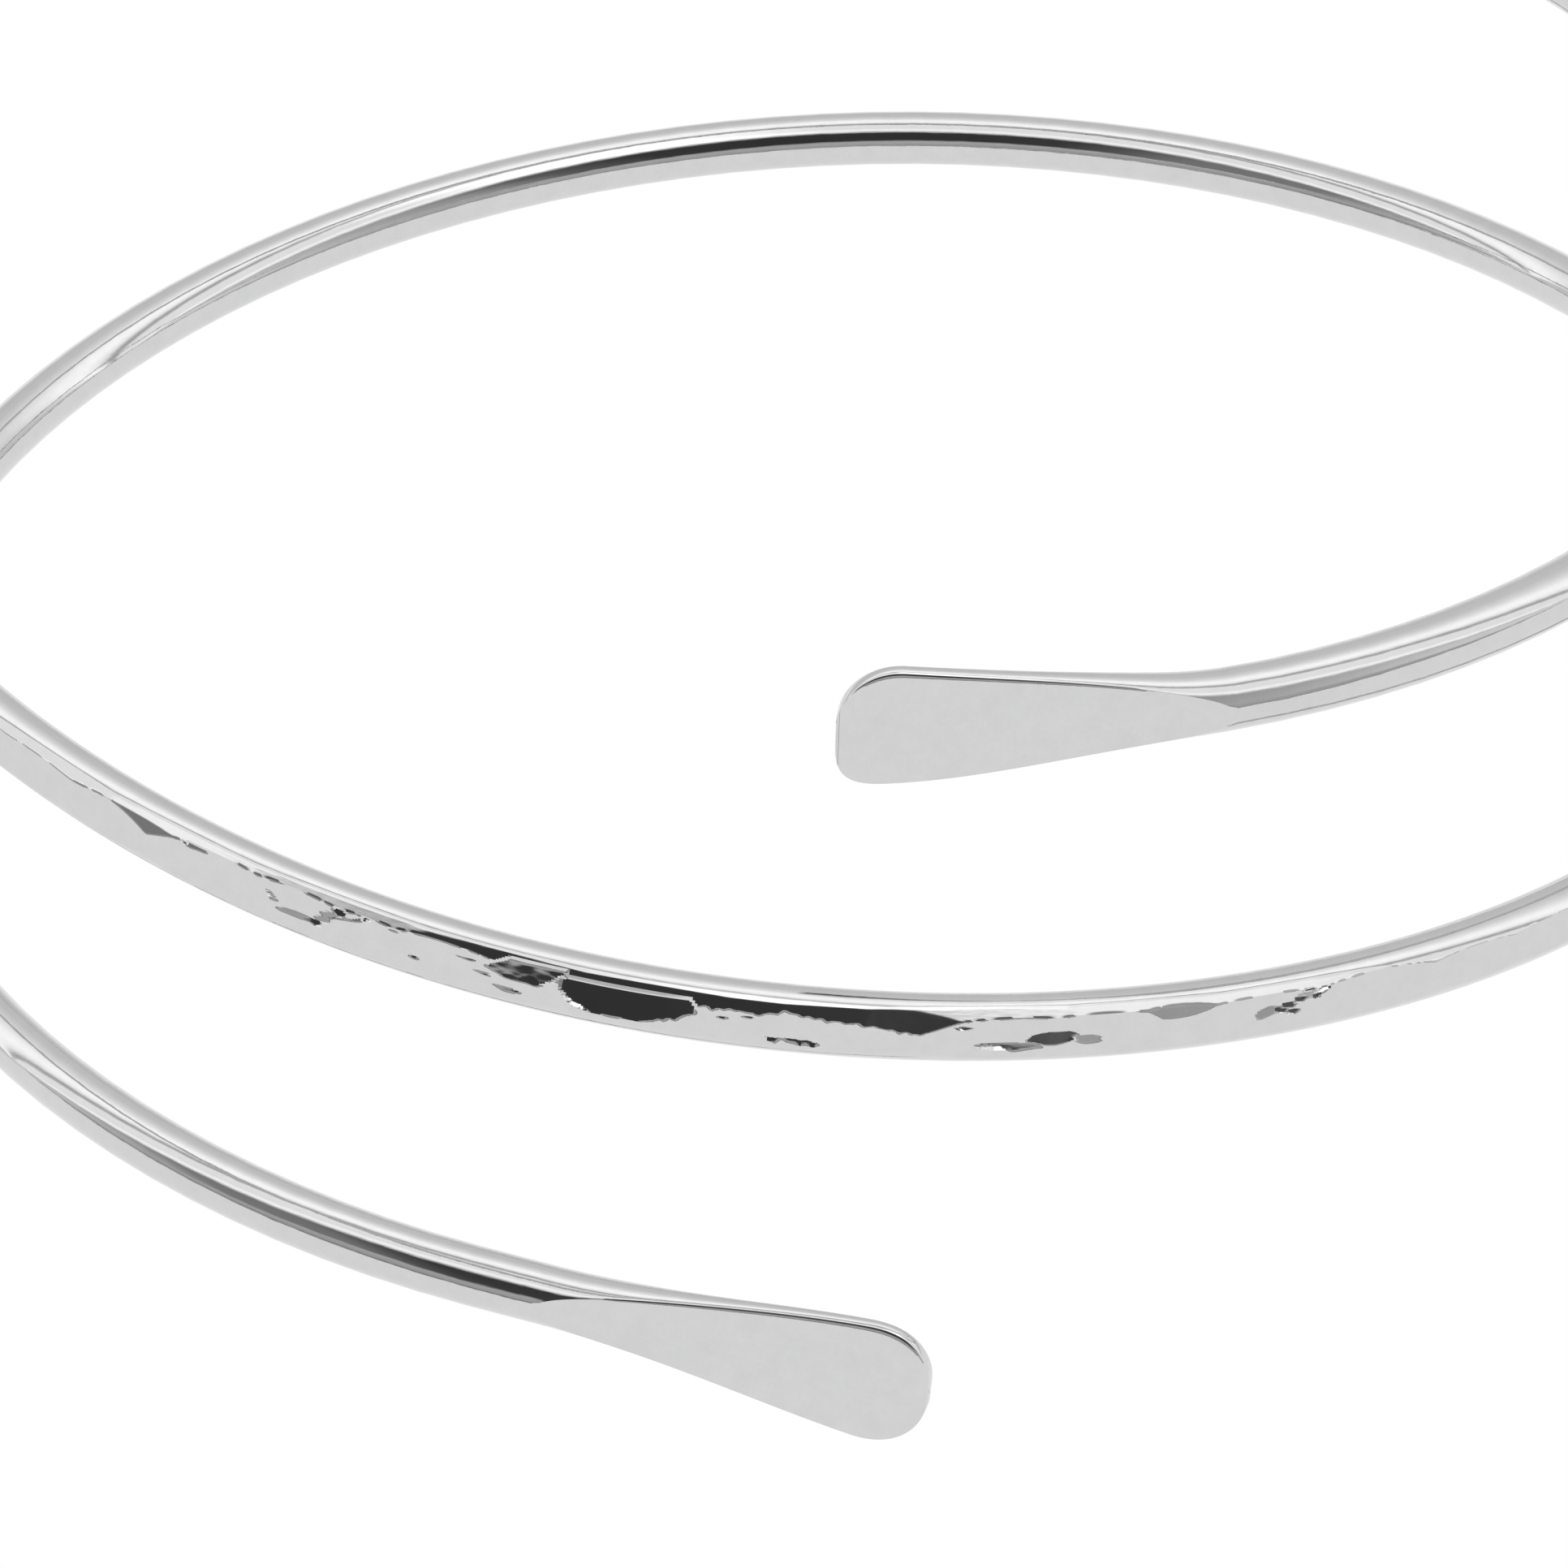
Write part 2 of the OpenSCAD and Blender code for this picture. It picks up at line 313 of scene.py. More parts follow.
wire = line_object("arm_cuff_wire", wire_point(stations) @ LEAN.T)
above, below, thick = section_sizes(stations)
soft = np.where(stations < middle_turn, lower_blade["soft"], upper_blade["soft"])
softness = soft * (wire_r - thick) ** 2 / wire_r
flat_starts = np.array([lower_tip + lower_blade["flat"] / turn_l, upper_tip - upper_blade["flat"] / turn_l])
to_flat = np.maximum(0, np.minimum(stations - flat_starts[0], flat_starts[1] - stations)) * turn_l
corner_angle = np.where(to_flat > 0, point_angle + (pi / 4 - point_angle) * ease(to_flat / gather_l),
                        np.maximum(point_angle, np.arccos(np.minimum(1, thick / wire_r))))
add_attribute(wire.data, "out", "FLOAT_VECTOR", wire_out(stations) @ LEAN.T)
add_attribute(wire.data, "up", "FLOAT_VECTOR", wire_up(stations) @ LEAN.T)
place = (stations - middle_turn) * turn_l
fine = ease((1 - 2 * abs(place) / hammer_l) / fine_from)
add_attribute(wire.data, "place", "FLOAT", place)
for name, values in (("above", above), ("below", below), ("thick", thick), ("corner", corner_angle),
                     ("fine", fine), ("softness", softness)):
    add_attribute(wire.data, name, "FLOAT", values)
print("line drawn with", len(wire.data.vertices), "points")

# %% [markdown]
# ## The hammer's blows
# A planishing hammer has a slightly domed, polished face. Each blow leaves a flat across the wire
# that is a little hollow along it, and where two blows meet stands a ridge. One row for each blow
# is enough: the nodes cut the round wire back to every blow's face in turn. A first row of long,
# light blows planed the shoulder of the strand, and the deep ones followed below it. A few of these
# have ragged ends, where the metal folded a little under the hammer.

# %% One row for each blow, from the left-hand end of the strand to its right-hand end
flat_reach = radians(80)
PLANED = [  # place and depth in mm, lift and tilt in degrees, the dome's radius and the ragged end in mm
    (33.0, 0.060, 46, 0, 200, 0),
    (26.5, 0.064, 46, 0, 200, 0),
    (20.0, 0.070, 46, 0, 200, 0),
    (14.0, 0.072, 43, 0, 200, 0),
    (8.5, 0.072, 39, 0, 200, 0),
    (4.6, 0.066, 36, 0, 150, 0),
    (0.5, 0.078, 37, 0, 200, 0),
    (-1.6, 0.100, 36, -1, 38, 0),
    (-4.5, 0.068, 48, 0, 200, 0),
    (-9.5, 0.068, 48, 0, 200, 0),
    (-15.0, 0.060, 46, 0, 200, 0),
]
BLOWS = PLANED + [
    (44.6, 0.10, 8, 0, 24, 0),
    (40.4, 0.18, 10, 0, 24, 0),
    (36.8, 0.24, 10, 1, 24, 0),
    (33.2, 0.27, 10, -1, 24, 0),
    (30.2, 0.27, 10, 0, 14, 0),
    (25.0, 0.33, 10, 0, 20, 0),
    (21.7, 0.33, 10, 0, 20, 0),
    (18.9, 0.30, 10, 0, 13, 0),
    (16.0, 0.33, 9, 0, 24, 0),
    (13.4, 0.20, 10, 0, 24, 0),
    (9.2, 0.10, 10, 0, 24, 0),
    (5.4, 0.165, 9, 0, 60, 0.30),
    (3.3, 0.225, 9, 1, 8, 0.30),
    (1.3, 0.155, 9, -1, 60, 0.30),
    (-5.2, 0.315, 8, 0, 24, 0),
    (-8.5, 0.335, 8, 0, 30, 0),
    (-11.0, 0.270, 8, 0, 40, 0),
    (-14.2, 0.310, 8, 1, 30, 0),
    (-19.4, 0.290, 10, -1, 24, 0),
    (-23.5, 0.19, 10, 1, 24, 0),
    (-28.0, 0.18, 10, -1, 24, 0),
    (-33.0, 0.20, 10, 0, 24, 0),
    (-38.0, 0.20, 10, 1, 24, 0),
    (-42.5, 0.14, 10, 0, 24, 0),
    (-45.5, 0.08, 8, 0, 24, 0),
]

# %% [markdown]
# ## Dents
# The hammer's rim and its edge leave smaller marks, each with an end of its own: a long lens, a
# fan of fine streaks, short slanting nicks. A row gives a dent its place, its size, the way its
# floor faces, how far its ends slant and how rough its floor is. Its wall rises steeply past the
# edge of a rounded oblong. The floor starts from the beaten face, so a dent is never left hanging
# in the air when a blow below it is moved.

# %% One row for each dent, with lengths in mm and angles in degrees
DENTS = [  # place, half length, middle, half height, sink, lift, tilt, slant, dome, top, rough
    (28.1, 1.60, 38, 0.34, 0.04, 34, 0, 0.6, 60, 90, 1),
    (25.9, 0.50, 44, 0.11, 0.03, 35, 0, 0.5, 60, 90, 1),
    (22.5, 0.16, 13, 0.30, 0.02, 25, 0, 0.9, 60, 90, 1),
    (21.6, 0.70, -2, 0.14, 0.03, 22, 0, -1.5, 40, 90, 2),
    (20.85, 0.30, -3, 0.14, 0.05, 36, 8, 0, 40, 90, 1),
    (20.6, 0.30, 9, 0.20, 0.05, 36, 8, -1.0, 40, 90, 1),
    (20.4, 0.32, 24, 0.20, 0.05, 37, 8, -1.0, 40, 90, 1),
    (19.95, 0.32, 38, 0.15, 0.05, 37, 8, 0, 40, 90, 1),
    (19.5, 0.18, 33, 0.30, 0.02, 28, 0, -2.4, 60, 90, 1),
    (18.0, 0.45, 42, 0.05, 0.012, 28, 0, 0.8, 60, 90, 1),
    (16.9, 0.13, -3, 0.09, 0.03, 34, 6, 0, 40, 90, 1),
    (15.1, 0.40, 31, 0.05, 0.012, 26, 0, -2.0, 60, 90, 1),
    (14.4, 0.40, 9, 0.07, 0.012, 26, 0, -1.0, 60, 90, 2),
    (13.7, 0.80, -9, 0.07, 0.012, 26, 0, 0, 60, 90, 2),
    (13.1, 1.25, 26, 1.00, 0.08, 28, 0, -1.3, 60, 53, 14),
    (12.3, 0.30, 18, 0.05, 0.02, 34, 4, -1.5, 40, 90, 1),
    (9.0, 2.45, 25, 0.86, 0.34, 34, -1.7, 0.15, 20, 44, 2),
    (5.5, 0.30, 18, 0.06, 0.02, 36, 0, 0, 40, 90, 1),
    (4.7, 0.22, 25, 0.06, 0.02, 36, 0, -1.5, 40, 90, 1),
    (3.0, 0.95, -16, 0.08, 0.03, 30, 0, 1.5, 40, 90, 1),
    (-3.15, 0.36, 28, 0.07, 0.03, 36, -4, -2.0, 40, 90, 1),
    (-6.4, 0.85, 2, 0.32, 0.16, 36, -3, -0.8, 200, 90, 3),
    (-4.9, 1.15, -14, 0.17, 0.12, 36, -3, 3.0, 200, 90, 1),
    (-7.75, 0.50, -5, 0.22, 0.06, 22, 0, 0.8, 40, 90, 3),
    (-11.0, 1.70, 30, 0.90, 0.02, 20, 0, 0, 14, 90, 4),
    (-14.75, 0.45, 9, 0.30, 0.06, 24, -6, -0.6, 40, 90, 4),
    (-15.3, 0.25, 10, 0.16, 0.09, 34, -16, 0, 40, 90, 1),
    (-15.6, 0.30, 19, 0.15, 0.10, 34, -16, 0, 40, 90, 1),
    (-15.8, 0.24, 2, 0.12, 0.08, 34, -16, 0, 40, 90, 1),
    (-16.05, 0.21, 28, 0.12, 0.08, 36, -16, 0, 40, 90, 1),
    (-16.3, 0.45, 32, 0.20, 0.04, 26, -3, -1.0, 40, 90, 5),
    (-16.4, 0.20, 41, 0.11, 0.08, 36, -16, 0, 40, 90, 1),
    (-16.7, 0.20, 29, 0.12, 0.08, 34, -16, 0, 40, 90, 1),
    (-16.95, 0.20, 36, 0.15, 0.08, 36, -16, -1.0, 40, 90, 1),
]


def beaten_radius(place, angle):
    """Distance from the wire's middle to its face after all blows, in mm, at one place and angle."""
    cuts = [wire_r / MM]
    for at, depth, lift, tilt, dome, _ in BLOWS:
        off, toward = place - at, cos(radians(angle - lift))
        if toward > cos(flat_reach):
            cuts.append((wire_r / MM - depth + off * off / (2 * dome) + off * tan(radians(tilt))) / toward)
    return min(cuts)


def points_object(name, rows, columns):
    """A cloud of points that only carries a table for the nodes: one point for each row."""
    mesh = bpy.data.meshes.new(name)
    mesh.from_pydata([(0, 0, 0)] * len(rows), [], [])
    for (column, scale), values in zip(columns, zip(*rows)):
        add_attribute(mesh, column, "FLOAT", [scale * v for v in values])
    table = bpy.data.objects.new(name, mesh)
    bpy.context.scene.collection.objects.link(table)
    return table


DEG = pi / 180
blows = points_object("blows", BLOWS, (
    ("at", MM), ("depth", MM), ("lift", DEG), ("tilt", DEG), ("dome", MM), ("ragged", MM)))
dents = points_object("dents", [(*row, beaten_radius(row[0], row[2]) - row[4]) for row in DENTS], (
    ("at", MM), ("half_length", MM), ("middle", DEG), ("half_height", MM), ("sink", MM),
    ("lift", DEG), ("tilt", DEG), ("slant", 1), ("dome", MM), ("top", DEG), ("rough", 1), ("bottom", MM)))
print("blows of the hammer:", len(BLOWS), "and marks of its edge:", len(DENTS))

# %% [markdown]
# ## Formulas as nodes
# Wiring a formula node by node hides what it says. A small wrapper lets a socket take part in sums,
# so that the tree below can be read like the formulas above.

# %% A socket that takes part in sums
class Term:
    """A node's output that can be added, multiplied and so on, each time with a Math node."""

    def __init__(self, tree, socket):
        self.tree, self.socket = tree, socket

    def math(self, operation, *others):
        node = self.tree.nodes.new("ShaderNodeMath")
        node.operation = operation
        for slot, value in zip(node.inputs, (self, *others)):
            plug(self.tree, slot, value)
        return Term(self.tree, node.outputs[0])

    def __add__(self, other): return self.math("ADD", other)
    def __sub__(self, other): return self.math("SUBTRACT", other)
    def __mul__(self, other): return self.math("MULTIPLY", other)
    def __truediv__(self, other): return self.math("DIVIDE", other)
    def __gt__(self, other): return self.math("GREATER_THAN", other)
    def cos(self): return self.math("COSINE")
    def sin(self): return self.math("SINE")
    def tan(self): return self.math("TANGENT")
    def abs(self): return self.math("ABSOLUTE")
    def min(self, other): return self.math("MINIMUM", other)
    def max(self, other): return self.math("MAXIMUM", other)


def plug(tree, slot, value):
    if isinstance(value, Term):
        tree.links.new(value.socket, slot)
    else:
        slot.default_value = value


def add_node(tree, kind, settings=(), **inputs):
    """A node with its settings made and its named inputs plugged in."""
    node = tree.nodes.new(kind)
    for key, value in dict(settings).items():
        setattr(node, key, value)
    for name, value in inputs.items():
        plug(tree, node.inputs[name.replace("_", " ")], value)
    return node


def field(tree, name, kind="FLOAT"):
    node = add_node(tree, "GeometryNodeInputNamedAttribute", dict(data_type=kind), Name=name)
    return Term(tree, node.outputs["Attribute"])


def ramp(tree, value, start, stop, low, high):
    """The value, mapped from one range to another and held at its ends."""
    node = tree.nodes.new("ShaderNodeMapRange")
    for slot, item in zip(node.inputs, (value, start, stop, low, high)):
        plug(tree, slot, item)
    return Term(tree, node.outputs[0])


def scaled(tree, vector, length):
    node = tree.nodes.new("ShaderNodeVectorMath")
    node.operation = "SCALE"
    plug(tree, node.inputs[0], vector)
    plug(tree, node.inputs["Scale"], length)
    return Term(tree, node.outputs[0])


def vector_sum(tree, a, b):
    node = tree.nodes.new("ShaderNodeVectorMath")
    plug(tree, node.inputs[0], a)
    plug(tree, node.inputs[1], b)
    return Term(tree, node.outputs[0])


# %% [markdown]
# ## The tree that beats the wire
# It sweeps a ring of points along the line, then moves each point to its place on the section:
# first the angle round the wire, gathered at the corners of the blades' flats, then the radius
# after every blow, and last the flattening. Round wire, hammered wire and blades are one formula,
# so they run into each other with no seam, as in one piece of metal.

# %% Inputs of the tree
SIDES = 96
dent_rim = 6 * MM
ripple, ripple_l = 0.004 * MM, 0.6 * MM
tooth_l = 0.32 * MM
gather, gather_at = 0.6, radians(12)
tree = bpy.data.node_groups.new("beaten wire", "GeometryNodeTree")
tree.interface.new_socket("Geometry", in_out="OUTPUT", socket_type="NodeSocketGeometry")
INPUTS = {}
for name, kind, value in (
    ("Geometry", "NodeSocketGeometry", None),
    ("Wire radius", "NodeSocketFloat", wire_r),
    ("Points round", "NodeSocketInt", SIDES),
    ("Blows", "NodeSocketObject", blows),
    ("Dents", "NodeSocketObject", dents),
    ("Dent rim", "NodeSocketFloat", dent_rim),
    ("Ripple", "NodeSocketFloat", ripple),
    ("Half hammered length", "NodeSocketFloat", hammer_l / 2),
    ("Finish", "NodeSocketMaterial", None),
):
    INPUTS[name] = (tree.interface.new_socket(name, in_out="INPUT", socket_type=kind).identifier, value)
entry = tree.nodes.new("NodeGroupInput")
print("inputs of the tree:", ", ".join(INPUTS))


def given(name):
    return Term(tree, entry.outputs[name])


# %% Sweep a ring of points along the line
line = add_node(tree, "GeometryNodeMeshToCurve", Mesh=given("Geometry"))
centre = add_node(tree, "GeometryNodeStoreNamedAttribute", dict(data_type="FLOAT_VECTOR", domain="POINT"),
                  Geometry=Term(tree, line.outputs[0]), Name="centre",
                  Value=Term(tree, tree.nodes.new("GeometryNodeInputPosition").outputs[0]))
ring = add_node(tree, "GeometryNodeCurvePrimitiveCircle", dict(mode="RADIUS"),
                Resolution=given("Points round"), Radius=given("Wire radius"))
index = Term(tree, tree.nodes.new("GeometryNodeInputIndex").outputs[0])
half_round = index * 2 / given("Points round")
signed_round = half_round - (half_round > 1) * 2
marked = add_node(tree, "GeometryNodeStoreNamedAttribute", dict(data_type="FLOAT", domain="POINT"),
                  Geometry=Term(tree, ring.outputs[0]), Name="round", Value=signed_round)
tube = add_node(tree, "GeometryNodeCurveToMesh", Curve=Term(tree, centre.outputs[0]),
                Profile_Curve=Term(tree, marked.outputs[0]), Fill_Caps=True)

# %% Angle of each point above level, gathered at the corners of the flats
outer_corner, inner_corner = 0.25, 0.75
side = field(tree, "round")
share = side.abs()
corner = field(tree, "corner")
unsigned = (ramp(tree, share, 0, outer_corner, 0, corner)
            + ramp(tree, share, outer_corner, inner_corner, 0, corner * -2 + pi)
            + ramp(tree, share, inner_corner, 1, 0, corner))
even = unsigned * side.math("SIGN")
angle = even - (even - gather_at).sin() * field(tree, "fine") * gather


def keep(geometry, name, kind, value):
    """Stores a value on the points, so that the steps after it can read it."""
    node = add_node(tree, "GeometryNodeStoreNamedAttribute", dict(data_type=kind, domain="POINT"),
                    Geometry=geometry, Name=name, Value=value)
    return Term(tree, node.outputs[0])


skin = keep(Term(tree, tube.outputs[0]), "angle", "FLOAT", angle)
skin = keep(skin, "radius", "FLOAT", given("Wire radius"))

# %% A loop that cuts the wire back once for each row of a table
too_far = 1


def cut_by_table(skin, table_name, cut_of_row):
    """Runs the cut for every row, and keeps the lowest radius at each point.

    Outside the hammered stretch a cut is moved too far out to be the lowest.
    """
    table = Term(tree, add_node(tree, "GeometryNodeObjectInfo",
                                Object=given(table_name)).outputs["Geometry"])
    first = tree.nodes.new("GeometryNodeRepeatInput")
    last = tree.nodes.new("GeometryNodeRepeatOutput")
    first.pair_with_output(last)
    count = add_node(tree, "GeometryNodeAttributeDomainSize", Geometry=table)
    plug(tree, first.inputs["Iterations"], Term(tree, count.outputs["Point Count"]))
    plug(tree, first.inputs["Geometry"], skin)

    def of_row(column):
        node = add_node(tree, "GeometryNodeSampleIndex", dict(data_type="FLOAT", domain="POINT"),
                        Geometry=table, Value=field(tree, column),
                        Index=Term(tree, first.outputs["Iteration"]))
        return Term(tree, node.outputs[0])

    inside = given("Half hammered length") > field(tree, "place").abs()
    cut = cut_of_row(of_row) + (inside * -1 + 1) * too_far
    plug(tree, last.inputs["Geometry"],
         keep(Term(tree, first.outputs["Geometry"]), "radius", "FLOAT", field(tree, "radius").min(cut)))
    return Term(tree, last.outputs["Geometry"])


def to_face(distance, lift):
    """Distance from the middle of the wire to a face, in the direction of each point that it faces."""
    toward = (field(tree, "angle") - lift).cos()
    missed = toward.math("LESS_THAN", cos(flat_reach))
    return distance / toward.max(cos(flat_reach)) + missed * too_far


# %% Noise, as no edge or flat comes out quite even
mark = tree.nodes.new("ShaderNodeCombineXYZ")
plug(tree, mark.inputs[0], field(tree, "place") / tooth_l)
teeth = add_node(tree, "ShaderNodeTexNoise", Vector=Term(tree, mark.outputs[0]), Scale=1.0, Detail=2.0)
skin = keep(skin, "tooth", "FLOAT", Term(tree, teeth.outputs[0]) - 0.5)
spot = tree.nodes.new("ShaderNodeCombineXYZ")
spot_out = field(tree, "angle").cos() * given("Wire radius")
spot_up = field(tree, "angle").sin() * given("Wire radius")
for slot, value in zip(spot.inputs, (field(tree, "place"), spot_out, spot_up)):
    plug(tree, slot, value)
waves = add_node(tree, "ShaderNodeTexNoise", Vector=scaled(tree, Term(tree, spot.outputs[0]), 1 / ripple_l),
                 Scale=1.0, Detail=2.0)
skin = keep(skin, "ripple", "FLOAT", (Term(tree, waves.outputs[0]) - 0.5) * given("Ripple"))


# %% The faces of the blows and the hollows of the dents
dent_squareness = 2.5


def blow_cut(of_row):
    off = field(tree, "place") - of_row("at")
    face = (given("Wire radius") - of_row("depth") + off * off / (of_row("dome") * 2)
            + off * of_row("tilt").tan() + of_row("ragged") * field(tree, "tooth") + field(tree, "ripple"))
    return to_face(face, of_row("lift"))


def dent_cut(of_row):
    aside = (field(tree, "angle") - of_row("middle")) * given("Wire radius")
    off = field(tree, "place") - of_row("at") - aside * of_row("slant")
    face = (of_row("bottom") * (of_row("middle") - of_row("lift")).cos() + off * off / (of_row("dome") * 2)
            + off * of_row("tilt").tan() + of_row("rough") * field(tree, "ripple"))
    past_edge = ((off / of_row("half_length")).abs().math("POWER", dent_squareness)
                 + (aside / of_row("half_height")).abs().math("POWER", dent_squareness) - 1)
    past_edge = past_edge.max(field(tree, "angle") - of_row("top")).max(0)
    return to_face(face, of_row("lift")) + past_edge * given("Dent rim")


skin = cut_by_table(skin, "Blows", blow_cut)
skin = cut_by_table(skin, "Dents", dent_cut)

# %% Flatten and place every point
radius = field(tree, "radius")
turned = field(tree, "angle")
thickness = field(tree, "thick")
softness = ramp(tree, turned, soft_low, soft_high, 0, field(tree, "softness"))
across = radius * turned.cos()
across = across.math("SMOOTH_MIN", thickness, softness).math("SMOOTH_MAX", thickness * -1, softness)
is_below = side * -1 > 0
half = field(tree, "above") + (field(tree, "below") - field(tree, "above")) * is_below
risen = radius / given("Wire radius") * half * turned.sin()
point = vector_sum(tree, field(tree, "centre", "FLOAT_VECTOR"),
                   vector_sum(tree, scaled(tree, field(tree, "out", "FLOAT_VECTOR"), across),
                              scaled(tree, field(tree, "up", "FLOAT_VECTOR"), risen)))
placed = add_node(tree, "GeometryNodeSetPosition", Geometry=skin, Position=point)

# %% Mark the drawing direction for the finish, and close the tree
grain = tree.nodes.new("ShaderNodeCombineXYZ")
for slot, value in zip(grain.inputs, (field(tree, "place"), across, risen)):
    plug(tree, slot, value)
grained = keep(Term(tree, placed.outputs[0]), "grain", "FLOAT_VECTOR", Term(tree, grain.outputs[0]))
smooth = add_node(tree, "GeometryNodeSetShadeSmooth", Geometry=grained)
real = add_node(tree, "GeometryNodeRealizeInstances", Geometry=Term(tree, smooth.outputs[0]))
finish = add_node(tree, "GeometryNodeSetMaterial", Geometry=Term(tree, real.outputs[0]),
                  Material=given("Finish"))
leave = tree.nodes.new("NodeGroupOutput")
plug(tree, leave.inputs[0], Term(tree, finish.outputs[0]))
print("nodes in the tree:", len(tree.nodes))

# %% [markdown]
# ## Mirror-polished silver
# Polished silver is nearly a mirror. What tells it from chrome is its softer tone, faint clouds of
# tarnish and the very fine, short lines that drawing and polishing leave along the wire. The lines
# are noise stretched along the wire, and they only stir the roughness and the surface a little.
# Both read the piece's own attribute, so they follow the wire round its coil.

# %% The finish
silver_tone = (0.65, 0.65, 0.655)
tone_low, tone_high = 0.94, 1.01
cloud_l = 0.9 * MM
line_l, line_w = 0.7 * MM, 0.12 * MM
line_depth, line_strength = 0.003 * MM, 0.5
polish_roughness = 0.045
line_roughness = (0.7 * polish_roughness, 1.6 * polish_roughness)
noise_span = (0.3, 0.7)


def polished_silver():
    material = bpy.data.materials.new("polished_silver")
    material.use_nodes = True
    nodes = material.node_tree
    shader = nodes.nodes["Principled BSDF"]
    shader.inputs["Metallic"].default_value = 1
    grain = add_node(nodes, "ShaderNodeAttribute", dict(attribute_name="grain"))
    stretch = add_node(nodes, "ShaderNodeMapping", dict(vector_type="POINT"))
    plug(nodes, stretch.inputs["Vector"], Term(nodes, grain.outputs["Vector"]))
    stretch.inputs["Scale"].default_value = (1 / line_l, 1 / line_w, 1 / line_w)
    lines = add_node(nodes, "ShaderNodeTexNoise", Vector=Term(nodes, stretch.outputs[0]),
                     Scale=1.0, Detail=3.0)
    fine = Term(nodes, lines.outputs[0])
    rough = ramp(nodes, fine, *noise_span, *line_roughness)
    plug(nodes, shader.inputs["Roughness"], rough)
    bump = add_node(nodes, "ShaderNodeBump", Height=fine, Strength=line_strength, Distance=line_depth)
    plug(nodes, shader.inputs["Normal"], Term(nodes, bump.outputs[0]))
    spots = scaled(nodes, Term(nodes, grain.outputs["Vector"]), 1 / cloud_l)
    clouds = add_node(nodes, "ShaderNodeTexNoise", Vector=spots, Scale=1.0, Detail=8.0, Roughness=0.75)
    share = ramp(nodes, Term(nodes, clouds.outputs[0]), *noise_span, tone_low, tone_high)
    tone = nodes.nodes.new("ShaderNodeCombineXYZ")
    for slot, value in zip(tone.inputs, silver_tone):
        plug(nodes, slot, share * value)
    plug(nodes, shader.inputs["Base Color"], Term(nodes, tone.outputs[0]))
    return material


silver = polished_silver()
print("finish:", silver.name)

# %% [markdown]
# ## From nodes to a plain mesh
# The modifier gets its sizes by each input's identifier. Its result is copied to a plain mesh, the
# outside is turned outwards, and the cuff is set on the middle of the solid's own box.

# %% Run the tree and keep its mesh
INPUTS["Finish"] = (INPUTS["Finish"][0], silver)
modifier = wire.modifiers.new("beaten wire", "NODES")
modifier.node_group = tree
for identifier, value in INPUTS.values():
    if value is not None:
        modifier[identifier] = value
wire.update_tag()
bpy.context.view_layer.update()
evaluated = wire.evaluated_get(bpy.context.evaluated_depsgraph_get())
mesh = bpy.data.meshes.new_from_object(evaluated)
wire.modifiers.remove(modifier)
wire.data = mesh
for table in (blows, dents):
    bpy.data.objects.remove(table)
print("triangles:", sum(len(p.vertices) - 2 for p in mesh.polygons))

# %% Turn the faces outwards, keep the blades' corners crisp and set the cuff on its frame
import bmesh

corner_sharp = radians(24)
cuff = wire
shell = bmesh.new()
shell.from_mesh(mesh)
bmesh.ops.recalc_face_normals(shell, faces=shell.faces)
shell.to_mesh(mesh)
shell.free()
mesh.set_sharp_from_angle(angle=corner_sharp)
corners = np.array([v.co for v in mesh.vertices])
solid_low, solid_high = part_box("arm_cuff")
middle = Vector((corners.min(0) + corners.max(0)) / 2)
shift = (solid_low + solid_high) / 2 - middle
mesh.transform(Matrix.Translation(shift))
print("moved onto the frame by, in mm:", in_mm(shift))
print("size, in mm:", in_mm(corners.max(0) - corners.min(0)))

# %% [markdown]
# ## The cuff in the frame
# The cuff is one stiff piece of metal, so it rides on the only body. It stands for the solid, which
# stays hidden and keeps its use for contact, and it takes the solid's material slot.

# %% Tell the frame about the cuff
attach(cuff, "root")
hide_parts("arm_cuff")
print(cuff.name, "stands for arm_cuff, with", len(mesh.vertices), "points")

# %% [markdown]
# ## Camera
# A long lens from in front and above, turned a little about its own axis, at the photograph's
# viewing angle. The framing cuts the coil at both sides, as the photograph does.

# %% The camera
camera_at = Vector((17.745, -307.851, 257.966)) * MM
camera_back = Vector((0.0482, -0.7616, 0.6463)).normalized()
camera_roll = radians(-3.574)
sensor = 36
lens = 213.15


def photo_camera():
    data = bpy.data.cameras.new("camera")
    data.lens, data.sensor_width, data.sensor_fit = lens, sensor, "HORIZONTAL"
    data.clip_start = 1 * MM
    camera = bpy.data.objects.new("camera", data)
    bpy.context.scene.collection.objects.link(camera)
    level = Vector((0, 0, 1)).cross(camera_back).normalized()
    upright = camera_back.cross(level)
    right = level * cos(camera_roll) + upright * sin(camera_roll)
    up = camera_back.cross(right)
    turn = Matrix((right, up, camera_back)).transposed().to_4x4()
    camera.matrix_world = Matrix.Translation(camera_at) @ turn
    bpy.context.scene.camera = camera


photo_camera()
print("camera above the floor, in mm:", in_mm(camera_at.z))

# %% [markdown]
# ## Light tent
# Jewellers shoot mirror-like metal inside a white tent, because it shows whatever stands round it.
# The tent's bands run from the table up over the front and down the back. The camera looks in
# through a dark window, darkest straight ahead, and its dark reflection is what draws the shape of
# the wire. A lamp above the window, a little to the right, brightens the highlights in the middle.
# The table stays light, so the flats that face it come out pale. All of it is one world shader that
# reads the direction of each ray, so the tent has no seams and no walls to stand in the way.

